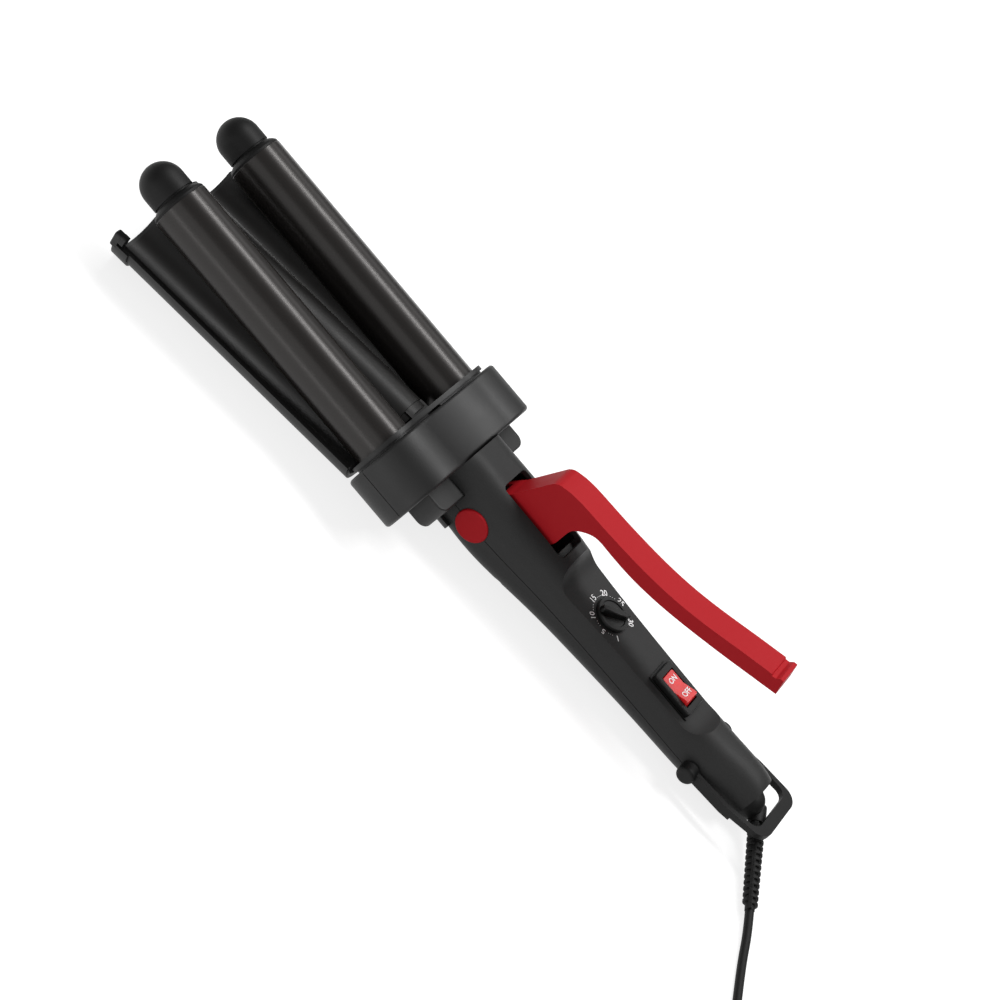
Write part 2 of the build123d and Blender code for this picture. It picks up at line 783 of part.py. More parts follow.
with BuildPart() as jaw_arm:
    # spine under the ridge
    with BuildSketch(across(arm_front)):
        with Locations((0, -ridge_drop)):
            Circle(arm_r)
        with Locations((0, arm_top - arm_depth / 2)):
            Rectangle(2 * arm_half, arm_depth, mode=Mode.INTERSECT)
    extrude(amount=jaw_root - arm_front)
    # bar through the tunnel, with the raised root block
    with BuildSketch(Plane.XZ):
        Polygon(
            (-50.0, arm_top - arm_depth + 0.2), (jaw_root - 1.0, arm_top - arm_depth + 0.2),
            (jaw_root - 1.0, head_top), (jaw_root + 5.8, head_top), (jaw_root + 7.5, arm_top),
            (34.5, arm_top), (34.5, -6.5), (20.0, -5.0), (jaw_root + 3.0, -2.2),
            (-50.0, arm_top - arm_depth), align=None)
    extrude(amount=arm_half, both=True)
    add(arm_head.part)
    # tongue round the pin and up into the lever
    with BuildSketch(Plane.XZ):
        with Locations((pivot_x, 0)):
            Circle(hub_r)
        Polygon(
            (33.0, arm_top), (37.5, 7.0), (50.0, 16.2), (60.5, 15.8), (63.0, 9.0), (51.0, -2.5),
            (pivot_x, -hub_r + 0.5), (33.0, -6.5), align=None)
    extrude(amount=tongue_half, both=True)
    with Locations(pivot):
        Cylinder(pin_r + running, 4 * arm_half, rotation=(90, 0, 0), mode=Mode.SUBTRACT)
    closed_points = [turned(point, open_angle) for point in lever_screw_points]
    with Locations([(x, 0, z) for x, z in closed_points]):
        Cylinder(clear_r, 4 * arm_half, rotation=(90, 0, 0), mode=Mode.SUBTRACT)
    # pilot holes for the cover's screws
    with Locations([(x, 0, arm_top - arm_depth) for x in jaw_screw_x]):
        Cylinder(
            screw_r + running, arm_depth - 0.8, align=(Align.CENTER, Align.CENTER, Align.MIN),
            mode=Mode.SUBTRACT)
finish(jaw_arm, "jaw_arm", opened)

# ---------------------------------------------------------------- squeeze lever, drawn as it stands open

peg = (58.0, 1.6)
peg_r = 1.5
peg_reach = 10.2
lever_slot_top = 18.4
lever_slot_back = 62.6
lever_web_bottom = 13.2  # the fork's front is closed above this height

with BuildPart() as squeeze_lever:
    with BuildSketch(Plane.XZ):
        with BuildLine():
            Line((36.4, 4.0), (43.9, 17.6))
            Line((43.9, 17.6), (50.6, 36.6))
            ThreePointArc((50.6, 36.6), (52.2, 39.3), (55.0, 40.7))
            Spline(
                (55.0, 40.7), (73.8, 42.9), (90.0, 43.7), (106.5, 45.3), (123.0, 48.3),
                (139.0, 52.8), (154.0, 57.6), (164.1, 60.7), tangents=((0.93, 0.36), (0.95, 0.31)))
            Polyline(
                (164.1, 60.7), (164.8, 60.0), (166.5, 60.5), (167.7, 62.3), (169.3, 62.7),
                (171.7, 55.5))
            Spline(
                (171.7, 55.5), (160.0, 51.8), (147.5, 47.9), (131.0, 43.2), (115.0, 39.4),
                (102.5, 37.5), (88.0, 36.9), tangents=((-0.95, -0.31), (-1, 0)))
            Spline((88.0, 36.9), (77.0, 35.8), (71.6, 31.0), (70.4, 19.0), tangents=((-1, 0), (0, -1)))
            Polyline((70.4, 19.0), (67.5, 5.0), (50.0, -5.0), (40.0, -6.0), (36.4, 4.0))
        make_face()
        with Locations((pivot_x, 0)):
            Circle(hub_r)
    extrude(amount=lever_half, both=True)
    # fork for the arm's tongue
    with BuildSketch(Plane.XZ):
        Polygon(
            (30.0, -12.0), (lever_slot_back, -12.0), (lever_slot_back, lever_slot_top),
            (46.6, lever_slot_top), (43.6, lever_web_bottom), (30.0, lever_web_bottom), align=None)
    extrude(amount=tongue_half + seat_gap, both=True, mode=Mode.SUBTRACT)
    # peg that the spring lifts
    with Locations((peg[0], -(lever_half + peg_reach) / 2, peg[1])):
        Cylinder(peg_r, peg_reach - lever_half, rotation=(90, 0, 0))
    with Locations(pivot):
        Cylinder(pin_r + running, 4 * lever_half, rotation=(90, 0, 0), mode=Mode.SUBTRACT)
    with Locations([(x, 0, z) for x, z in lever_screw_points]):
        Cylinder(pilot_r, 4 * lever_half, rotation=(90, 0, 0), mode=Mode.SUBTRACT)
    with Locations([(x, -lever_half, z) for x, z in lever_screw_points]):
        Cylinder(
            screw_head_r + seat_gap, 2 * screw_head, rotation=(90, 0, 0), mode=Mode.SUBTRACT)
finish(squeeze_lever, "squeeze_lever")

with BuildPart() as lever_screws:
    with Locations([(x, -lever_half + screw_head / 2 + 0.1, z) for x, z in lever_screw_points]):
        Cylinder(screw_head_r, screw_head - 0.2, rotation=(90, 0, 0))
    with Locations([(x, 0, z) for x, z in lever_screw_points]):
        Cylinder(screw_r, 2 * (lever_half - screw_head), rotation=(90, 0, 0))
finish(lever_screws, "lever_screws")

with BuildPart() as jaw_screws:
    with Locations([(x, 0, arm_top - arm_depth) for x in jaw_screw_x]):
        Cylinder(screw_r, arm_depth - 1.2, align=(Align.CENTER, Align.CENTER, Align.MIN))
        Cylinder(screw_head_r, screw_head, align=(Align.CENTER, Align.CENTER, Align.MAX))
finish(jaw_screws, "jaw_screws", opened)

# ---------------------------------------------------------------- torsion spring

spring_wire = 1.3
spring_turns = 3
spring_pitch = spring_wire + 0.2
spring_r = pin_boss_d / 2 + free_gap + spring_wire / 2
spring_end_y = -(lever_half + 1.9)
peg_run = peg[0] - pivot_x
leg_rise = degrees(
    asin((spring_r - peg_r - spring_wire / 2 - seat_gap) / hypot(peg_run, peg[1]))
    + atan2(peg[1], peg_run))
spring_leg = peg_run + 2.0
leg_cos, leg_sin = cos(radians(leg_rise)), sin(radians(leg_rise))
spring_foot = (pivot_x - yoke_back - spring_wire) / leg_cos + spring_r * leg_sin

with BuildPart() as torsion_spring:
    with BuildLine() as spring_line:
        coil = Helix(
            spring_pitch, spring_turns * spring_pitch, spring_r,
            center=(0, 0, 0), direction=(0, 1, 0), lefthand=True)
        Line(coil @ 1, (coil @ 1) + (coil % 1) * spring_leg)
        Line((coil @ 0) - (coil % 0) * spring_foot, coil @ 0)
    spring_wires = spring_line.wires()[0]
    with BuildSketch(Plane(origin=spring_wires @ 0, z_dir=spring_wires % 0)):
        Circle(spring_wire / 2)
    sweep(path=spring_wires)
spring_place = Pos(pivot_x, spring_end_y - spring_turns * spring_pitch, 0) * Rot(0, 180 - leg_rise, 0)
finish(torsion_spring, "torsion_spring", spring_place)

# ---------------------------------------------------------------- board, potentiometer, dial

with BuildPart() as temperature_potentiometer:
    with Locations((dial_x, 0, pot_bottom)):
        Box(pot_size, pot_size, pot_height, align=(Align.CENTER, Align.CENTER, Align.MIN))
        Cylinder(dial_shaft_d / 2 + running, 3 * pot_height, mode=Mode.SUBTRACT)
    fillet(temperature_potentiometer.edges().filter_by(Axis.Z).filter_by(GeomType.LINE), radius=1.0)
finish(temperature_potentiometer, "temperature_potentiometer")

with BuildPart() as control_board:
    with BuildSketch(Plane.XY.offset(board_bottom)):
        with Locations((board_start + board_length / 2, 0)):
            RectangleRounded(board_length, 2 * board_half, 1.5)
        with Locations(board_posts):
            Circle(board_screw_r + seat_gap, mode=Mode.SUBTRACT)
        with Locations((dial_x, 0)):
            Circle(dial_shaft_d / 2 + running, mode=Mode.SUBTRACT)
    extrude(amount=board_thickness)
finish(control_board, "control_board")

with BuildPart() as board_components:
    down = (Align.CENTER, Align.CENTER, Align.MAX)
    with Locations((board_start + 24.0, 0, board_bottom)):
        Cylinder(4.0, 7.5, align=down)
    with Locations((board_start + 33.0, 3.5, board_bottom)):
        Box(4.5, 9.0, 7.0, align=down)
    with Locations((board_start + 33.0, -5.0, board_bottom)):
        Box(6.0, 3.0, 3.0, align=down)
finish(board_components, "board_components")

with BuildPart() as dial_knob:
    with BuildSketch(Plane.XZ):
        with BuildLine():
            Polyline(
                (0, pot_bottom + 0.4 - panel_z), (dial_shaft_d / 2, pot_bottom + 0.4 - panel_z),
                (dial_shaft_d / 2, free_gap), (dial_d / 2, free_gap), (dial_d / 2, free_gap + 1.0),
                (dial_d / 2 - 0.5, free_gap + 1.5), (dial_d / 2 - 1.7, free_gap + 1.5),
                (dial_d / 2 - 2.0, free_gap + 1.0), (0, free_gap + 1.0), close=True)
        make_face()
    revolve(axis=Axis.Z)
    with BuildSketch(Plane.XY.offset(free_gap + 1.0)):
        RectangleRounded(dial_d - 0.6, dial_grip_width, dial_grip_width / 2 - 0.1)
    extrude(amount=dial_height - free_gap - 1.0, taper=5)
    top_edges = dial_knob.faces().sort_by(Axis.Z)[-1].edges()
    fillet(top_edges, radius=0.5)
dial_place = Pos(dial_x, 0, panel_z) * Rot(0, 0, dial_rest_angle)
finish(dial_knob, "dial_knob", dial_place)

with BuildPart() as board_screws:
    with Locations([(x, y, board_bottom) for x, y in board_posts]):
        Cylinder(1.8, 1.2, align=(Align.CENTER, Align.CENTER, Align.MAX))
        Cylinder(
            board_screw_r, board_thickness + 3.6, align=(Align.CENTER, Align.CENTER, Align.MIN))
finish(board_screws, "board_screws")

# ---------------------------------------------------------------- rocker switch

bezel_flange = 0.8
bezel_inset = 0.9
rocker_r = rocker_length / 2
rocker_gap = 0.35
rocker_axis_z = panel_z + 1.0
well_depth = 5.2
stud_r = 1.2
stud_length = 0.9

with BuildPart() as switch_body:
    with Locations((switch_x, 0, panel_z)):
        Box(switch_length, switch_width, bezel_flange, align=(Align.CENTER, Align.CENTER, Align.MIN))
    fillet(switch_body.edges().filter_by(Axis.Z), radius=0.8)
    with BuildSketch(Plane.XY.offset(panel_z + bezel_flange)):
        with Locations((switch_x, 0)):
            RectangleRounded(switch_length - 2 * bezel_inset, switch_width - 2 * bezel_inset, 0.7)
    extrude(amount=bezel_height - bezel_flange)
    fillet(switch_body.faces().sort_by(Axis.Z)[-1].edges(), radius=0.4)
    with Locations((switch_x, 0, panel_z)):
        Box(
            switch_body_length, switch_body_width, switch_body_depth,
            align=(Align.CENTER, Align.CENTER, Align.MAX))
    with Locations((switch_x, 0, rocker_axis_z - well_depth)):
        Box(
            rocker_length + 2 * rocker_gap, rocker_width + 2 * rocker_gap, 4 * well_depth,
            align=(Align.CENTER, Align.CENTER, Align.MIN), mode=Mode.SUBTRACT)
    with Locations((switch_x, 0, rocker_axis_z)):
        Cylinder(
            stud_r + running, rocker_width + 2 * (stud_length + running), rotation=(90, 0, 0),
            mode=Mode.SUBTRACT)
finish(switch_body, "switch_body")

with BuildPart() as switch_terminals:
    with Locations([(switch_x + step, 0, panel_z - switch_body_depth) for step in (-6.5, 0, 6.5)]):
        Box(0.8, 4.8, 6.5, align=(Align.CENTER, Align.CENTER, Align.MAX))
finish(switch_terminals, "switch_terminals")

with BuildPart() as rocker:
    with BuildSketch(Plane.XZ):
        Circle(rocker_r)
        with BuildLine():
            Polyline(
                (-rocker_r, -rocker_r), (rocker_r, -rocker_r), (rocker_r, rocker_end_rise),
                (0, rocker_mid_rise), (-rocker_r, rocker_end_rise), close=True)
        make_face(mode=Mode.INTERSECT)
        with Locations((0, -rocker_r - rocker_depth)):
            Rectangle(4 * rocker_r, 2 * rocker_r, mode=Mode.SUBTRACT)
    extrude(amount=rocker_width / 2, both=True)
    rocker_ends = rocker.faces().filter_by(GeomType.CYLINDER).edges().filter_by(GeomType.CIRCLE)
    fillet(rocker_ends, radius=rocker_corner_r)
    Cylinder(stud_r, rocker_width + 2 * stud_length, rotation=(90, 0, 0))
rocker_place = Pos(switch_x, 0, rocker_axis_z) * Rot(0, -rocker_angle, 0)
finish(rocker, "rocker", rocker_place)

# ---------------------------------------------------------------- hanging loop, drawn level about its pivot

loop_reach = loop_end - loop_x
arm_outer = loop_half + loop_gap + loop_arm
bow_outer = arm_outer + loop_bow
with BuildPart() as hanging_loop:
    with BuildSketch():
        with BuildLine():
            FilletPolyline(
                (0, -arm_outer), (loop_bow_x, -bow_outer), (loop_reach, -loop_end_half),
                (loop_reach, loop_end_half), (loop_bow_x, bow_outer), (0, arm_outer), radius=7.0)
            Line((0, arm_outer), (0, -arm_outer))
        make_face()
        with BuildLine():
            FilletPolyline(
                (-1, loop_arm - arm_outer), (loop_bow_x, loop_arm - bow_outer),
                (loop_reach - loop_bar, loop_arm - loop_end_half),
                (loop_reach - loop_bar, loop_end_half - loop_arm), (loop_bow_x, bow_outer - loop_arm),
                (-1, arm_outer - loop_arm), radius=4.6)
            Line((-1, arm_outer - loop_arm), (-1, loop_arm - arm_outer))
        make_face(mode=Mode.SUBTRACT)
    extrude(amount=loop_arm_height / 2, both=True)
    # the arms are deeper than the end bar, with a step below
    with BuildSketch(Plane.XZ):
        Polygon(
            (loop_step_x, -loop_arm_height), (loop_step_x, loop_step - loop_arm_height / 2),
            (loop_reach + 1, loop_bar_bottom), (loop_reach + 1, -loop_arm_height), align=None)
    extrude(amount=2 * bow_outer, both=True, mode=Mode.SUBTRACT)
    for side in sides:
        with BuildSketch(Plane.XZ.offset(-side * (arm_outer - loop_arm))):
            Circle(loop_knob_d / 2)
        extrude(amount=-side * loop_knob_length)
        with BuildSketch(Plane.XZ.offset(-side * (arm_outer - loop_arm - loop_stud))):
            Circle(loop_stud_d / 2)
        extrude(amount=-side * (loop_stud + 1.0))
    knob_rims = hanging_loop.edges().filter_by(GeomType.CIRCLE)
    fillet([knob_rims.sort_by(Axis.Y)[0], knob_rims.sort_by(Axis.Y)[-1]], radius=1.6)
loop_place = Pos(loop_x, 0, loop_z) * Rot(0, -loop_rise, 0)
finish(hanging_loop, "hanging_loop", loop_place)

# ---------------------------------------------------------------- how the iron lies on a table

# Closed, the jaw's tip has its lowest edge at the end cap; opened, that edge rests on the table.
cap_outer_r = trough_r + cover_bottom + lay_gap + end_cap_wall
jaw_foot = turned((jaw_front - end_cap_face, -cap_outer_r), -open_angle)
tail_feet = [(station[0], station[3]) for station in stations[-2:]]
first_tilt = min(degrees(atan2(z - jaw_foot[1], x - jaw_foot[0])) for x, z in tail_feet)


def lowest(builder, angle):
    """How low a piece reaches when the iron is tipped by an angle."""
    return builder.part.moved(Rot(0, angle, 0)).bounding_box().min.Z


jaw_lift = lowest(jaw_end_cap, first_tilt) - lowest(handle_lower_shell, first_tilt)
tilt = first_tilt - degrees(jaw_lift / (loop_x - jaw_foot[0]))

# The cord's outlet, as it points when the iron lies on the table.
outlet_row = Vector(1, 0, 0).rotate(Axis.Y, outlet_dip).rotate(Axis.Z, outlet_heading)
outlet = outlet_row.rotate(Axis.Y, -tilt)
outlet_start = Vector(swivel_centre + outlet_offset, 0, swivel_z)

# ---------------------------------------------------------------- cord swivel and strain relief

swivel_gap = 0.3
swivel_flange_r = swivel_bore_r + 1.2
swivel_flange = 2.0
flange_front = tail_end - tail_wall - swivel_gap - swivel_flange
outlet_length = 5.0

with BuildPart() as cord_swivel:
    with BuildSketch(Plane.XZ):
        with BuildLine():
            Polyline(
                (swivel_centre + swivel_r, 0), (flange_front, 0), (flange_front, swivel_flange_r),
                (flange_front + swivel_flange, swivel_flange_r),
                (flange_front + swivel_flange, swivel_bore_r), (tail_end + swivel_gap, swivel_bore_r),
                (tail_end + swivel_gap, swivel_r), (swivel_centre, swivel_r))
            ThreePointArc(
                (swivel_centre, swivel_r),
                (swivel_centre + swivel_r * cos(pi / 4), swivel_r * sin(pi / 4)),
                (swivel_centre + swivel_r, 0))
        make_face()
    revolve(axis=Axis.X)
# the profile is turned about the barrels' axis, then lifted to the swivel's own
cord_swivel.part.move(Pos(0, 0, swivel_z))
with BuildPart() as swivel_outlet:
    with BuildSketch(Plane(origin=outlet_start - outlet * 3.0, z_dir=outlet)):
        Circle(relief_root_d / 2)
    extrude(amount=outlet_length + 3.0)
cord_swivel.part = cord_swivel.part + swivel_outlet.part
finish(cord_swivel, "cord_swivel")

relief_ribs = 9
rib_pitch = (relief_length - 4.0) / relief_ribs
rib_groove = 0.6

with BuildPart() as strain_relief:
    taper = (relief_root_d - relief_end_d) / 2 / relief_length
    with BuildSketch(Plane.XZ):
        with BuildLine():
            points = [(0, 0), (0, relief_root_d / 2), (2.0, relief_root_d / 2)]
            for rib in range(relief_ribs):
                start = 2.0 + rib * rib_pitch
                outer = relief_root_d / 2 - taper * start
                points += [
                    (start, outer - rib_groove), (start + rib_pitch * 0.3, outer - rib_groove),
                    (start + rib_pitch * 0.3, outer), (start + rib_pitch, outer - taper * rib_pitch)]
            points += [
                (relief_length - 2.0, relief_flange_d / 2), (relief_length, relief_flange_d / 2),
                (relief_length, 0)]
            Polyline(*points, close=True)
        make_face()
    revolve(axis=Axis.X)
relief_start = outlet_start + outlet * outlet_length
relief_place = Plane(origin=relief_start, x_dir=outlet, z_dir=Vector(0, 0, 1) - outlet * outlet.Z).location
finish(strain_relief, "strain_relief", relief_place)
relief_end = relief_start + outlet * relief_length

# ---------------------------------------------------------------- stand the iron on the table

lying = Rot(0, tilt, 0)
for piece in finished:
    piece.move(lying)
stood = [piece for piece in finished if piece.label != "strain_relief"]
corners = [piece.bounding_box() for piece in stood]
middle_x = (min(box.min.X for box in corners) + max(box.max.X for box in corners)) / 2
middle_y = (min(box.min.Y for box in corners) + max(box.max.Y for box in corners)) / 2
table_z = min(box.min.Z for box in corners)
to_origin = Pos(-middle_x, -middle_y, -table_z)
for piece in finished:
    piece.move(to_origin)
at_rest = to_origin * lying

# ---------------------------------------------------------------- cord, on the table from here on

cord_r = cord_d / 2
cord_start = (at_rest * Pos(*relief_end)).position
cord_route = (
    (203.9, -47.1, 2.8), (208.6, -59.0, cord_r), (215.4, -75.2, cord_r),
    (222.5, -91.5, cord_r), (232.4, -110.4, cord_r))
coil_r = 22.8            # middle of the turns
coil_columns = 3
coil_layers = 4
coil_width = coil_columns * cord_d
coil_height = coil_layers * cord_d
tail_route = (
    (279.0, -111.3, 3.5 * cord_d), (286.5, -98.3, 12.2), (293.3, -82.5, 9.8),
    (297.0, -66.5, 7.6), (298.3, -52.0, 6.5))
plug_heading = 85.0
plug_width = 21.0
plug_height = 13.0
plug_length = 24.0
plug_corner_r = 4.0
blade_length = 17.0
blade_thickness = 1.5
blade_width = 6.4
wide_blade_width = 7.9
blade_spacing = 12.7


def cord_tube(points):
    """A round cord along straight runs and wide arcs; prints the arcs' radii."""
    points = [Vector(*point) for point in points]
    runs = [after - before for before, after in zip(points, points[1:])]
    radii = []
    for before, after in zip(runs, runs[1:]):
        half_turn = radians(before.get_angle(after)) / 2
        radii.append(0.45 * min(before.length, after.length) / tan(half_turn))
    print("cord radii", [round(r, 1) for r in radii], "runs", [round(run.length, 1) for run in runs])
    with BuildPart() as tube:
        with BuildLine() as route:
            FilletPolyline(*points, radius=radii)
        with BuildSketch(Plane(origin=points[0], z_dir=runs[0])):
            Circle(cord_r)
        sweep(path=route.wires()[0])
    return tube, route.wires()[0].length


cord, cord_run = cord_tube((cord_start,) + cord_route)
finish(cord, "cord")
cord_tail, tail_run = cord_tube(tail_route)
finish(cord_tail, "cord_tail")

coil_entry = Vector(*cord_route[-1])
entry_run = coil_entry - Vector(*cord_route[-2])
outer_turn_r = coil_r + cord_d
coil_centre = coil_entry + Vector(-entry_run.Y, entry_run.X, 0).normalized() * outer_turn_r
coil_turns = (cord_length - cord_run - tail_run) / (2 * pi * coil_r)
print("coil turns", round(coil_turns, 2), "in a section for", coil_columns * coil_layers)

with BuildPart() as cord_coil:
    with BuildSketch(Plane.XZ):
        with Locations((coil_r, coil_height / 2)):
            RectangleRounded(coil_width, coil_height, cord_r * 0.9)
    revolve(axis=Axis.Z)
finish(cord_coil, "cord_coil", Pos(coil_centre.X, coil_centre.Y, 0))

plug_place = Pos(*tail_route[-1]) * Rot(0, 0, plug_heading)
with BuildPart() as plug_body:
    with BuildSketch(across(0)):
        RectangleRounded(cord_d * 1.8, cord_d * 1.8, cord_d * 0.6)
    with BuildSketch(across(plug_length * 0.45)):
        RectangleRounded(plug_width * 0.86, plug_height * 0.92, plug_corner_r)
    with BuildSketch(across(plug_length * 0.8)):
        RectangleRounded(plug_width, plug_height, plug_corner_r)
    loft()
    with BuildSketch(across(plug_length * 0.8)):
        RectangleRounded(plug_width, plug_height, plug_corner_r)
    extrude(amount=plug_length * 0.2)
finish(plug_body, "plug_body", plug_place)

with BuildPart() as plug_blades:
    with Locations((plug_length, -blade_spacing / 2, 0)):
        Box(blade_length, blade_thickness, blade_width, align=(Align.MIN, Align.CENTER, Align.CENTER))
    with Locations((plug_length, blade_spacing / 2, 0)):
        Box(blade_length, blade_thickness, wide_blade_width, align=(Align.MIN, Align.CENTER, Align.CENTER))
    chamfer(plug_blades.faces().sort_by(Axis.X)[-2:].edges().filter_by(Axis.Z), length=0.5)
finish(plug_blades, "plug_blades", plug_place)

# ---------------------------------------------------------------- write the pieces

for piece in finished:
    export_step(piece, f"parts/{piece.label}.step")
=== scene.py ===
import bmesh
import bpy
from math import cos, radians, sin
from mathutils import Matrix, Vector


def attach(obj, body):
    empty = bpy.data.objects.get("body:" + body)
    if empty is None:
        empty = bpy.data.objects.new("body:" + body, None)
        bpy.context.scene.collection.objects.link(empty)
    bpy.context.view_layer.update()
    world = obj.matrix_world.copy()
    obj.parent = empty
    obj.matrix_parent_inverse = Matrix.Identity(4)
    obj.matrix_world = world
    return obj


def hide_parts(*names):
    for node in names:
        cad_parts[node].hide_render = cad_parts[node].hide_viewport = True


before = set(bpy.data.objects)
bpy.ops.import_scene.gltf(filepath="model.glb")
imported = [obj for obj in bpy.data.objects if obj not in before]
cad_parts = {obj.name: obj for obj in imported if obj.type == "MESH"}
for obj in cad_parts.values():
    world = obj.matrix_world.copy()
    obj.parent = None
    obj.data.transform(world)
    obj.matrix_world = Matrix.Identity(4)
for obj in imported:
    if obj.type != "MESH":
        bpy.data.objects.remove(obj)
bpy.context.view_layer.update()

# ---------------------------------------------------------------- camera, table and lights
# A long lens looks down on the iron from its left side, so it shows the lever and dial side.

lie_angle = 5.1577       # the iron lies tipped by this about +Y
camera_at = Vector((0.03899, -0.81015, 0.71295))
camera_forward = Vector((-0.02803, 0.76345, -0.64526))
camera_right = Vector((0.69604, 0.47821, 0.53557))
focal_length = 92.96     # in mm, as is the sensor
sensor_width = 36.0


def add_object(name, data):
    """Adds an object with this mesh, curve, light or camera to the scene."""
    made = bpy.data.objects.new(name, data)
    bpy.context.scene.collection.objects.link(made)
    return made


def turn_to(x_axis, y_axis, z_axis):
    """The rotation that puts an object's own axes along these."""
    return Matrix((x_axis, y_axis, z_axis)).transposed().to_4x4()


camera = add_object("camera", bpy.data.cameras.new("camera"))
camera.data.lens = focal_length
camera.data.sensor_width = sensor_width
camera_turn = turn_to(camera_right, camera_right.cross(camera_forward), -camera_forward)
camera.matrix_world = Matrix.Translation(camera_at) @ camera_turn
bpy.context.scene.camera = camera
bpy.context.scene.view_settings.view_transform = "Standard"


def linear(hex_colour):
    """An sRGB colour such as b0222a in linear light."""
    channels = [int(hex_colour[at:at + 2], 16) / 255 for at in (0, 2, 4)]
    return [c / 12.92 if c <= 0.04045 else ((c + 0.055) / 1.055) ** 2.4 for c in channels] + [1.0]


def add_node(material, kind, settings=None, inputs=None):
    """Adds a shader node, sets its options, and links or sets its inputs."""
    made = material.node_tree.nodes.new(kind)
    for name, value in (settings or {}).items():
        setattr(made, name, value)
    for name, value in (inputs or {}).items():
        if isinstance(value, bpy.types.NodeSocket):
            material.node_tree.links.new(value, made.inputs[name])
        else:
            made.inputs[name].default_value = value
    return made


def empty_material(name):
    """A new material with no shader nodes in it yet."""
    material = bpy.data.materials.new(name)
    material.use_nodes = True
    material.node_tree.nodes.clear()
    return material


def finish_material(material, shader):
    """Adds the output of a material and joins its last shader to it."""
    add_node(material, "ShaderNodeOutputMaterial", inputs={"Surface": shader})
    return material


def grain(material, vector, scale, detail):
    """A noise texture: its value at each point."""
    made = add_node(
        material, "ShaderNodeTexNoise",
        inputs={"Vector": vector, "Scale": scale, "Detail": detail})
    return made.outputs["Fac"]


def two_tone(material, value, shade, lit_shade):
    """A colour between two close shades, by a value from 0 to 1."""
    ramp = add_node(material, "ShaderNodeValToRGB", inputs={"Fac": value})
    ramp.color_ramp.elements[0].color = linear(shade)
    ramp.color_ramp.elements[1].color = linear(lit_shade)
    return ramp.outputs["Color"]


# The board gives off light of its own only to the camera, mirrors and clear pieces, so that it
# looks white without lighting the iron from below.
floor_size = 16.0
board_glow_strength = 0.78

white_board = empty_material("matt_white_board")
board_paint = add_node(white_board, "ShaderNodeBsdfDiffuse", inputs={"Color": linear("a6a6a6")})
board_glow = add_node(
    white_board, "ShaderNodeEmission",
    inputs={"Color": linear("ffffff"), "Strength": board_glow_strength})
board_sum = add_node(
    white_board, "ShaderNodeAddShader",
    inputs={0: board_paint.outputs[0], 1: board_glow.outputs[0]})
rays = add_node(white_board, "ShaderNodeLightPath")
seen = add_node(
    white_board, "ShaderNodeMath", {"operation": "MAXIMUM"},
    {0: rays.outputs["Is Camera Ray"], 1: rays.outputs["Is Glossy Ray"]})
seen_through = add_node(
    white_board, "ShaderNodeMath", {"operation": "MAXIMUM"},
    {0: seen.outputs[0], 1: rays.outputs["Is Transmission Ray"]})
board_mix = add_node(
    white_board, "ShaderNodeMixShader",
    inputs={0: seen_through.outputs[0], 1: board_paint.outputs[0], 2: board_sum.outputs[0]})
finish_material(white_board, board_mix.outputs[0])

floor_mesh = bpy.data.meshes.new("floor")
floor_bm = bmesh.new()
bmesh.ops.create_grid(floor_bm, x_segments=1, y_segments=1, size=floor_size / 2)
floor_bm.to_mesh(floor_mesh)
floor_mesh.materials.append(white_board)
floor = add_object("floor", floor_mesh)


def softbox(name, at, aim, size, watts):
    """A large rectangular studio light that points at a place on the iron."""
    light = bpy.data.lights.new(name, "AREA")
    light.shape = "RECTANGLE"
    light.size, light.size_y = size
    light.energy = watts
    lamp = add_object(name, light)
    facing = (Vector(aim) - Vector(at)).to_track_quat("-Z", "Y")
    lamp.matrix_world = Matrix.Translation(at) @ facing.to_matrix().to_4x4()


softbox("overhead_strip", (0.13, 0.45, 1.22), (0.05, 0.0, 0.0), (1.8, 0.22), 18.0)
softbox("left_softbox", (-0.2, -1.3, 0.12), (0.0, 0.0, 0.02), (1.6, 0.2), 3.0)
softbox("front_softbox", (0.1, -1.3, 0.75), (0.05, 0.0, 0.02), (1.8, 1.0), 4.5)
softbox("back_softbox", (0.25, 1.3, 1.0), (0.1, 0.0, 0.02), (1.6, 0.5), 3.0)

sky_strength = 0.25
world = bpy.data.worlds.new("studio")
bpy.context.scene.world = world
world.use_nodes = True
sky = world.node_tree.nodes["Background"]
sky.inputs["Color"].default_value = linear("ffffff")
sky.inputs["Strength"].default_value = sky_strength

# ---------------------------------------------------------------- cord
# A round two-core cord in black rubber. It leaves the strain relief, crosses the table and is
# wound into a round coil of eleven turns, put away beside the plug.

cord_radius = 0.0019
cord_route = (
    (0.198848, -0.038490, 0.004159), (0.2039, -0.0471, 0.0028), (0.2086, -0.0590, 0.0019),
    (0.2154, -0.0752, 0.0019), (0.2225, -0.0915, 0.0019), (0.2324, -0.1104, 0.0019))
tail_route = (
    (0.2790, -0.1113, 0.0133), (0.2865, -0.0983, 0.0122), (0.2933, -0.0825, 0.0098),
    (0.2970, -0.0665, 0.0076), (0.2983, -0.0520, 0.0065))
coil_middle = Vector((0.25596, -0.09804))
coil_radius = 0.0228
coil_entry_angle = 207.7
coil_exit_angle = 330.0
coil_turns = 11
points_a_turn = 16
change_share = 0.25      # each turn moves to the next one's place over its last quarter


def coil_slot(turn_count):
    """Column and layer of a turn: each layer of three runs inwards, and the next outwards."""
    layer, step = divmod(turn_count, 3)
    return (1 - step if layer % 2 == 0 else step - 1), layer


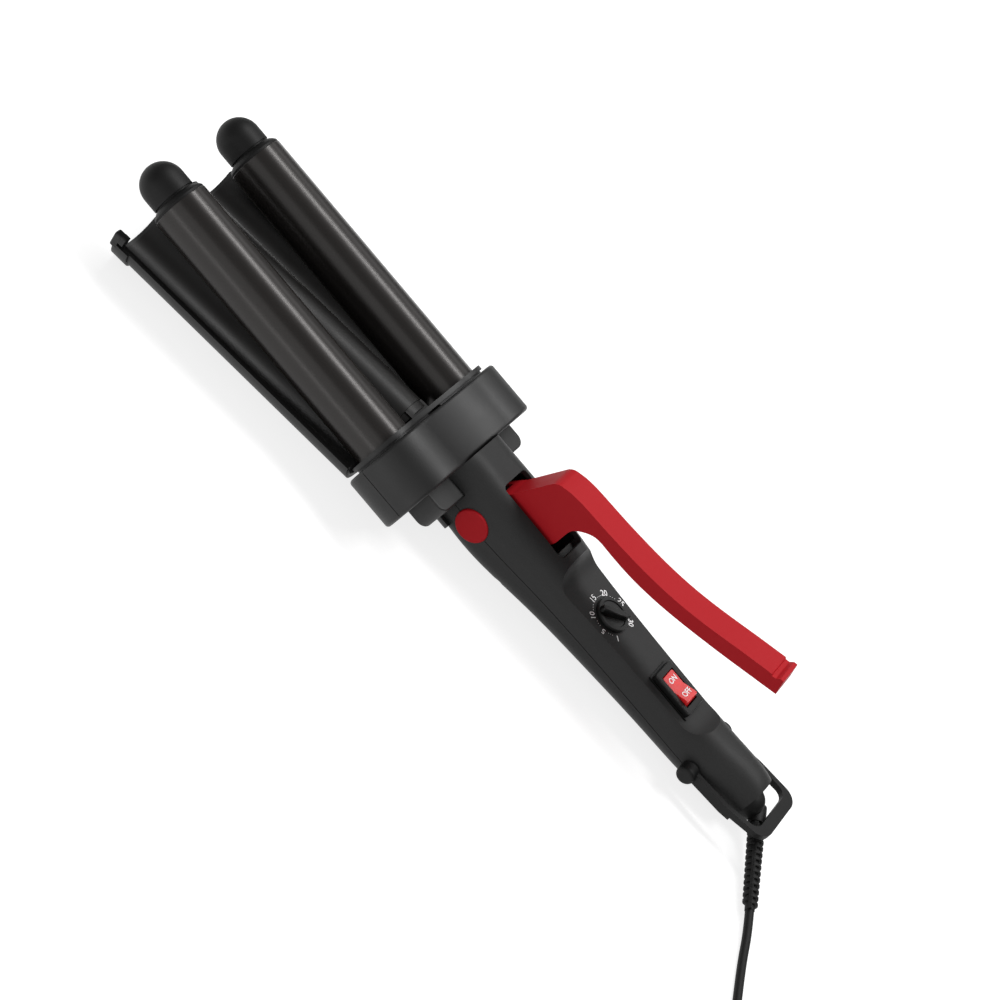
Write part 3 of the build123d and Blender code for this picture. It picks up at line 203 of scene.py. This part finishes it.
coil_points = []
swept = 360.0 * coil_turns + coil_exit_angle - coil_entry_angle
steps = round(swept / 360.0 * points_a_turn)
flat_step = radians(swept) / steps
for step in range(1, steps):
    turned_by = swept * step / steps / 360.0
    turn_count = int(turned_by)
    share = max(0.0, (turned_by - turn_count - (1.0 - change_share)) / change_share)
    column, layer = coil_slot(turn_count)
    next_column, next_layer = coil_slot(turn_count + 1)
    column += (next_column - column) * share
    layer += (next_layer - layer) * share
    angle = radians(coil_entry_angle) + flat_step * step
    out = (coil_radius + 2 * cord_radius * column) / cos(flat_step / 2)
    coil_points.append((
        coil_middle.x + out * cos(angle), coil_middle.y + out * sin(angle),
        cord_radius * (1 + 2 * layer)))

black_rubber = empty_material("black_rubber")
rubber_coords = add_node(black_rubber, "ShaderNodeTexCoord")
rubber_grain = grain(black_rubber, rubber_coords.outputs["Object"], 2500.0, 2.0)
rubber_bump = add_node(
    black_rubber, "ShaderNodeBump",
    inputs={"Height": rubber_grain, "Strength": 0.15, "Distance": 0.0001})
rubber = add_node(
    black_rubber, "ShaderNodeBsdfPrincipled",
    inputs={"Base Color": two_tone(black_rubber, rubber_grain, "080808", "101010"),
            "Normal": rubber_bump.outputs["Normal"], "Roughness": 0.6, "IOR": 1.5,
            "Specular IOR Level": 0.25})
finish_material(black_rubber, rubber.outputs[0])


def coat(node_name, material):
    """Gives a CAD node its finish."""
    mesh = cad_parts[node_name].data
    mesh.materials.clear()
    mesh.materials.append(material)


route_points = list(cord_route) + coil_points + list(tail_route)
cord_curve = bpy.data.curves.new("mains_cord", "CURVE")
cord_curve.dimensions = "3D"
cord_curve.bevel_depth = cord_radius
cord_curve.bevel_resolution = 4
cord_line = cord_curve.splines.new("NURBS")
cord_line.points.add(len(route_points) - 1)
for point, place in zip(cord_line.points, route_points):
    point.co = (*place, 1.0)
cord_line.order_u = 3
cord_line.use_endpoint_u = True
cord_line.resolution_u = 4
cord_curve.materials.append(black_rubber)
mains_cord = add_object("mains_cord", cord_curve)
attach(mains_cord, "cord")
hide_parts("cord", "cord_coil", "cord_tail")
coat("plug_body", black_rubber)

# ---------------------------------------------------------------- strain relief
# A tapered sleeve of the same rubber, moulded round the cord where it leaves the swivel. Half
# rings stand on both sides of its two spines, set half a step apart, so that it bends evenly.

relief_axis = Vector((0.50182, -0.85535, -0.12880)).normalized()
relief_length = 0.040
relief_root = Vector(cord_route[0]) - relief_axis * relief_length
root_radius = 0.0037
end_radius = 0.0032
core_root_radius = 0.0027
core_end_radius = 0.0021
core_inset = 0.0006       # how deep the rings and spines stand in the core
ring_count = 13
ring_step = 0.00285
ring_width = 0.0014
ring_edge = 0.0002
first_ring = 0.0016
spine_width = 0.0017
core_sides = 32
ring_steps = 14
spine_facing = Vector((-0.43, -0.37, 0.82))


def relief_outer(share):
    """Outer radius of the sleeve at a share of its length."""
    return root_radius + (end_radius - root_radius) * share


relief_bm = bmesh.new()
bmesh.ops.create_cone(
    relief_bm, cap_ends=True, segments=core_sides, radius1=core_root_radius,
    radius2=core_end_radius, depth=relief_length,
    matrix=Matrix.Translation((0, 0, relief_length / 2)))
inner_radius = core_end_radius - core_inset
half_width = ring_width / 2
for side in (-1, 1):
    for ring in range(ring_count):
        ring_at = first_ring + ring * ring_step + (ring_step / 2 if side > 0 else 0.0)
        ring_at = min(ring_at, relief_length - half_width)
        outer = relief_outer(ring_at / relief_length)
        section = (
            (inner_radius, -half_width), (outer - ring_edge, -half_width),
            (outer, ring_edge - half_width), (outer, half_width - ring_edge),
            (outer - ring_edge, half_width), (inner_radius, half_width))
        ring_face = relief_bm.faces.new(
            [relief_bm.verts.new((0.0, radius, ring_at + along)) for radius, along in section])
        bmesh.ops.spin(
            relief_bm, geom=[ring_face], axis=(0, 0, 1), cent=(0, 0, 0), angle=radians(-side * 180),
            steps=ring_steps, use_duplicate=False)
for side in (-1, 1):
    spine = bmesh.ops.create_cube(relief_bm, size=1.0)
    for corner in spine["verts"]:
        share = corner.co.z + 0.5
        reach = relief_outer(share) - ring_edge if corner.co.y > 0 else inner_radius
        corner.co = Vector((corner.co.x * spine_width, side * reach, share * relief_length))
    spine_edges = {edge for corner in spine["verts"] for edge in corner.link_edges}
    bmesh.ops.bevel(
        relief_bm, geom=list(spine_edges), offset=ring_edge, offset_type="OFFSET", affect="EDGES",
        segments=2, profile=0.5, material=-1)
bmesh.ops.recalc_face_normals(relief_bm, faces=relief_bm.faces)
relief_up = (spine_facing - relief_axis * spine_facing.dot(relief_axis)).normalized()
relief_turn = turn_to(relief_up.cross(relief_axis), relief_up, relief_axis)
relief_bm.transform(Matrix.Translation(relief_root) @ relief_turn)
relief_mesh = bpy.data.meshes.new("ribbed_relief")
relief_bm.to_mesh(relief_mesh)
relief_mesh.materials.append(black_rubber)
ribbed_relief = add_object("ribbed_relief", relief_mesh)
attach(ribbed_relief, "cord")
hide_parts("strain_relief")

# ---------------------------------------------------------------- barrels
# Two drawn aluminium tubes with a sprayed ceramic coat, dark grey-brown and satin. The coat is
# rubbed along the tube, which leaves faint lengthwise streaks in its sheen.

ceramic_coat = empty_material("ceramic_coated_aluminium")
coat_coords = add_node(ceramic_coat, "ShaderNodeTexCoord")
coat_stretch = add_node(
    ceramic_coat, "ShaderNodeMapping",
    inputs={"Vector": coat_coords.outputs["Object"], "Rotation": (0.0, radians(-lie_angle), 0.0),
            "Scale": (12.0, 1200.0, 1200.0)})
coat_streaks = grain(ceramic_coat, coat_stretch.outputs["Vector"], 1.0, 3.0)
coat_speck = grain(ceramic_coat, coat_coords.outputs["Object"], 1800.0, 1.0)
coat_rough = add_node(
    ceramic_coat, "ShaderNodeMapRange",
    inputs={"Value": coat_streaks, "To Min": 0.26, "To Max": 0.33})
coat_shader = add_node(
    ceramic_coat, "ShaderNodeBsdfPrincipled",
    inputs={"Base Color": two_tone(ceramic_coat, coat_speck, "211e1d", "2b2826"),
            "Roughness": coat_rough.outputs["Result"], "Metallic": 0.4, "IOR": 1.5,
            "Specular IOR Level": 0.55})
finish_material(ceramic_coat, coat_shader.outputs[0])
coat("barrel_left", ceramic_coat)
coat("barrel_right", ceramic_coat)

# ---------------------------------------------------------------- cool tips
# Domed caps of heat-resistant black nylon that plug the barrels' ends and stay cool enough to
# hold. Moulded in a spark-eroded tool, so they are satin with a very fine grain.


def moulded_plastic(name, shade, lit_shade, roughness, grain_size, grain_depth, gloss=0.5):
    """Moulded plastic: two close shades in a fine grain, given by its size and depth in metres."""
    plastic = empty_material(name)
    coords = add_node(plastic, "ShaderNodeTexCoord")
    texture = grain(plastic, coords.outputs["Object"], 1.0 / grain_size, 2.0)
    cloud = grain(plastic, coords.outputs["Object"], 60.0, 3.0)
    bump = add_node(
        plastic, "ShaderNodeBump",
        inputs={"Height": texture, "Strength": 0.5, "Distance": grain_depth})
    sheen = add_node(
        plastic, "ShaderNodeMapRange",
        inputs={"Value": cloud, "From Min": 0.3, "From Max": 0.7,
                "To Min": roughness - 0.03, "To Max": roughness + 0.04})
    shader = add_node(
        plastic, "ShaderNodeBsdfPrincipled",
        inputs={"Base Color": two_tone(plastic, texture, shade, lit_shade),
                "Roughness": sheen.outputs["Result"], "Normal": bump.outputs["Normal"],
                "IOR": 1.5, "Specular IOR Level": gloss})
    return finish_material(plastic, shader.outputs[0])


tip_nylon = moulded_plastic("satin_black_nylon", "060606", "0c0c0c", 0.55, 0.0004, 0.00002, 0.25)
coat("cool_tip_left", tip_nylon)
coat("cool_tip_right", tip_nylon)

# ---------------------------------------------------------------- heaters
# Inside each barrel, a ceramic strip heater is pressed between two half rounds of extruded
# aluminium. The left one carries a thermal fuse, and the right one a thermistor.


def bare_metal(name, shade, lit_shade, roughness, grain_size):
    """Bare metal with a fine grain in its roughness and tone, the grain's size in metres."""
    metal = empty_material(name)
    coords = add_node(metal, "ShaderNodeTexCoord")
    texture = grain(metal, coords.outputs["Object"], 1.0 / grain_size, 3.0)
    polish = add_node(
        metal, "ShaderNodeMapRange",
        inputs={"Value": texture, "To Min": roughness - 0.08, "To Max": roughness + 0.08})
    shader = add_node(
        metal, "ShaderNodeBsdfPrincipled",
        inputs={"Base Color": two_tone(metal, texture, shade, lit_shade), "Metallic": 1.0,
                "Roughness": polish.outputs["Result"]})
    return finish_material(metal, shader.outputs[0])


extruded_aluminium = bare_metal("extruded_aluminium", "b4b4b6", "cfcfd1", 0.42, 0.0008)
alumina = moulded_plastic("white_alumina", "dedad0", "efece4", 0.55, 0.0006, 0.00001)
for node_name in ("heater_clamps_left", "heater_clamps_right"):
    coat(node_name, extruded_aluminium)
for node_name in ("heating_strip_left", "heating_strip_right", "thermistor"):
    coat(node_name, alumina)
coat("thermal_fuse", extruded_aluminium)

# ---------------------------------------------------------------- collar, seats and yoke
# The barrels stand in cups of brown phenolic inside a two-part collar of black nylon. The
# collar, its base plate and the yoke behind it have a deeper mould grain than the handle.

collar_nylon = moulded_plastic(
    "fine_textured_black_nylon", "0e0e0e", "161616", 0.48, 0.0005, 0.00004, 0.42)
phenolic = moulded_plastic("brown_phenolic", "3a322b", "463c33", 0.5, 0.0007, 0.00003)
for node_name in ("barrel_base_plate", "collar_upper_shell", "collar_lower_shell", "mounting_yoke"):
    coat(node_name, collar_nylon)
coat("barrel_seat_left", phenolic)
coat("barrel_seat_right", phenolic)

zinc_plate = bare_metal("zinc_plated_steel", "9ea2a6", "c4c8cc", 0.32, 0.0010)
for node_name in ("yoke_screws", "handle_screws", "lever_screws", "jaw_screws", "board_screws"):
    coat(node_name, zinc_plate)

# ---------------------------------------------------------------- handle
# Two shells of black ABS, screwed together from below, with a fine satin mould finish that
# looks greyer than the collar's.

satin_abs = moulded_plastic("satin_black_abs", "262626", "303030", 0.48, 0.0005, 0.00002, 0.18)
coat("handle_upper_shell", satin_abs)
coat("handle_lower_shell", satin_abs)

# ---------------------------------------------------------------- jaw
# A folded aluminium plate with the same ceramic coat as the barrels, but blacker, backed by a
# moulded cover and an end cap. Its arm is a die casting that runs back to the pivot.

jaw_coat = moulded_plastic("black_ceramic_coat", "111010", "1a1918", 0.42, 0.0006, 0.00001, 0.25)
cover_nylon = moulded_plastic(
    "black_glass_filled_nylon", "0d0d0d", "151515", 0.5, 0.0005, 0.00003, 0.4)
coat("wave_plate", jaw_coat)
coat("jaw_back_cover", cover_nylon)
coat("jaw_end_cap", cover_nylon)
coat("jaw_arm", jaw_coat)

# ---------------------------------------------------------------- lever, caps and spring
# The squeeze lever and the caps over the pivot pin are red ABS with a satin surface. The pin is
# ground steel, and the spring under the lever is wound from hard-drawn wire.

red_abs = moulded_plastic("satin_red_abs", "a6151d", "b11c24", 0.5, 0.0005, 0.00002, 0.12)
for node_name in ("squeeze_lever", "pivot_cap_left", "pivot_cap_right"):
    coat(node_name, red_abs)
ground_steel = bare_metal("ground_steel", "8f9194", "b5b7ba", 0.22, 0.0008)
coat("pivot_pin", ground_steel)
coat("torsion_spring", ground_steel)

# ---------------------------------------------------------------- control board
# A fibreglass board with solder-resist lacquer, screwed under the panel. It carries the
# potentiometer of the dial, a capacitor, a relay block and a switching transistor.

lacquer = moulded_plastic("green_board_lacquer", "0d4f27", "14602f", 0.3, 0.0012, 0.00001)
component_resin = moulded_plastic("blue_component_resin", "1b2a5e", "243670", 0.35, 0.0008, 0.00001)
coat("control_board", lacquer)
coat("temperature_potentiometer", component_resin)
coat("board_components", component_resin)

# ---------------------------------------------------------------- dial and its scale
# A black ABS knob with a grip bar across it. The scale round it is printed on the panel in
# white pad-printing ink: seven numbers, with three small dots between each two.

dial_axis = Vector((0.089897, 0.0, 0.995951))
dial_at = Vector((0.075063, 0.0, 0.027825))
across_panel = Vector((0.0, 1.0, 0.0))
along_panel = across_panel.cross(dial_axis)
number_ring = 0.0103
number_height = 0.0026
dot_ring = 0.0094
dot_radius = 0.00017
dot_sides = 12
dot_shares = (0.35, 0.5, 0.65)      # where the dots stand between two numbers
ink_thickness = 0.00003
ink_lift = 0.00001
letter_size = 1.42                  # the font's size for capitals of height 1
letter_weight = 0.02                # how far the letters' outlines are thickened
dial_numbers = (
    ("1", -36), ("5", -78), ("10", -122), ("15", -170), ("20", -214), ("25", -265), ("30", -320))

dial_abs = moulded_plastic("moulded_black_abs", "0a0a0a", "121212", 0.36, 0.0005, 0.00001, 0.3)
knob_profile = (
    (0.0, -0.0068), (0.0030, -0.0068), (0.0030, 0.00035), (0.0080, 0.00035), (0.0080, 0.00135),
    (0.0075, 0.00185), (0.0063, 0.00185), (0.0060, 0.00135), (0.0, 0.00135))
grip_outline = (
    (-0.0073, -0.0008), (-0.0066, -0.0016), (0.0020, -0.0019), (0.0050, -0.0016),
    (0.0077, -0.0003), (0.0077, 0.0003), (0.0050, 0.0016), (0.0020, 0.0019),
    (-0.0066, 0.0016), (-0.0073, 0.0008))
grip_foot = 0.0010
grip_top = 0.0042
grip_edge = 0.0004
grip_draft = (0.95, 0.82, 1.0)
dial_rest_angle = 40.0
dial_steps = 96
merge_distance = 0.000001

dial_bm = bmesh.new()
rim_points = [dial_bm.verts.new((radius, 0.0, height)) for radius, height in knob_profile]
rim_edges = [dial_bm.edges.new(pair) for pair in zip(rim_points, rim_points[1:])]
bmesh.ops.spin(
    dial_bm, geom=rim_points + rim_edges, axis=(0, 0, 1), cent=(0, 0, 0), angle=radians(360),
    steps=dial_steps, use_merge=True)
bmesh.ops.remove_doubles(dial_bm, verts=dial_bm.verts, dist=merge_distance)
grip_face = dial_bm.faces.new([dial_bm.verts.new((x, y, grip_foot)) for x, y in grip_outline])
raised = bmesh.ops.extrude_face_region(dial_bm, geom=[grip_face])
raised_points = [made for made in raised["geom"] if isinstance(made, bmesh.types.BMVert)]
bmesh.ops.translate(dial_bm, verts=raised_points, vec=(0, 0, grip_top - grip_foot))
bmesh.ops.scale(dial_bm, verts=raised_points, vec=grip_draft)
top_edges = [
    edge for edge in dial_bm.edges if all(point in raised_points for point in edge.verts)]
bmesh.ops.bevel(
    dial_bm, geom=top_edges, offset=grip_edge, offset_type="OFFSET", affect="EDGES", segments=3,
    profile=0.5, material=-1)
bmesh.ops.recalc_face_normals(dial_bm, faces=dial_bm.faces)


def panel_direction(angle):
    """A direction in the panel, turned by an angle from the cord's end towards +Y."""
    return along_panel * cos(radians(angle)) + across_panel * sin(radians(angle))


pointing = panel_direction(dial_rest_angle)
dial_bm.transform(
    Matrix.Translation(dial_at) @ turn_to(pointing, dial_axis.cross(pointing), dial_axis))
dial_mesh = bpy.data.meshes.new("pointer_dial")
dial_bm.to_mesh(dial_mesh)
dial_mesh.materials.append(dial_abs)
pointer_dial = add_object("pointer_dial", dial_mesh)
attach(pointer_dial, "dial")
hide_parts("dial_knob")

white_ink = moulded_plastic("white_pad_print_ink", "dcdcdc", "ececec", 0.55, 0.0003, 0.000005)


def printed(name, words, height, place, body):
    """Words printed flat on a surface: place puts the text's own x, y and face where they go."""
    text = bpy.data.curves.new(name, "FONT")
    text.body = words
    text.size = height * letter_size
    text.align_x = "CENTER"
    text.align_y = "CENTER"
    text.extrude = ink_thickness / 2
    text.offset = height * letter_weight
    text.resolution_u = 4
    outline = bpy.data.objects.new(name + "_outline", text)
    mesh = bpy.data.meshes.new_from_object(outline)
    bpy.data.objects.remove(outline)
    mesh.transform(place)
    mesh.materials.clear()
    mesh.materials.append(white_ink)
    print_piece = add_object(name, mesh)
    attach(print_piece, body)


def on_panel(angle, radius):
    """Place on the dial's ring, with the top of the print outwards."""
    outward = panel_direction(angle)
    at = dial_at + outward * radius + dial_axis * (ink_thickness / 2 + ink_lift)
    return Matrix.Translation(at) @ turn_to(outward.cross(dial_axis), outward, dial_axis)


for words, angle in dial_numbers:
    printed("dial_number_" + words, words, number_height, on_panel(angle, number_ring), "handle")

dots_bm = bmesh.new()
for (_, first), (_, second) in zip(dial_numbers, dial_numbers[1:]):
    for share in dot_shares:
        bmesh.ops.create_circle(
            dots_bm, cap_ends=True, segments=dot_sides, radius=dot_radius,
            matrix=on_panel(first + (second - first) * share, dot_ring))
dots_mesh = bpy.data.meshes.new("dial_dots")
dots_bm.to_mesh(dots_mesh)
dots_mesh.materials.append(white_ink)
dial_dots = add_object("dial_dots", dots_mesh)
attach(dial_dots, "handle")

# ---------------------------------------------------------------- switch
# A snap-in rocker switch: a black body with brass tabs, and a rocker of clear red
# polycarbonate, glossy, with ON and OFF printed on its two faces.

rocker_at = Vector((0.115589, 0.0, 0.025171))
rocker_lean = -10.0
face_slope = 10.3                   # each face of the rocker slopes by this from its middle
face_middle = Vector((0.00385, 0.0004, 0.0026))
legend_height = 0.0025

coat("switch_body", dial_abs)
brass = bare_metal("brass", "b08d46", "caa75c", 0.3, 0.0008)
coat("switch_terminals", brass)
coat("plug_blades", brass)

clear_red = empty_material("clear_red_polycarbonate")
red_coords = add_node(clear_red, "ShaderNodeTexCoord")
red_cloud = grain(clear_red, red_coords.outputs["Object"], 350.0, 2.0)
red_shader = add_node(
    clear_red, "ShaderNodeBsdfPrincipled",
    inputs={"Base Color": two_tone(clear_red, red_cloud, "c2181c", "e02a2c"),
            "Roughness": 0.12, "IOR": 1.585, "Subsurface Weight": 0.3,
            "Subsurface Radius": (0.004, 0.0006, 0.0006), "Subsurface Scale": 1.0})
finish_material(clear_red, red_shader.outputs[0])
coat("rocker", clear_red)

rocker_turn = Matrix.Rotation(radians(lie_angle + rocker_lean), 4, "Y")
quarter = Matrix.Rotation(radians(90), 4, "Z")
lift = Matrix.Translation((0, 0, ink_thickness))
for words, side in (("ON", -1), ("OFF", 1)):
    face_turn = Matrix.Rotation(radians(lie_angle + rocker_lean - side * face_slope), 4, "Y")
    at = rocker_at + rocker_turn @ Vector((side * face_middle.x, face_middle.y, face_middle.z))
    printed(
        "rocker_" + words.lower(), words, legend_height,
        Matrix.Translation(at) @ face_turn @ quarter @ lift, "rocker")

# ---------------------------------------------------------------- hanging loop and swivel
# The hanging loop, and the swivel that the cord leaves by, are black nylon like the cool tips.

coat("hanging_loop", tip_nylon)
coat("cord_swivel", tip_nylon)
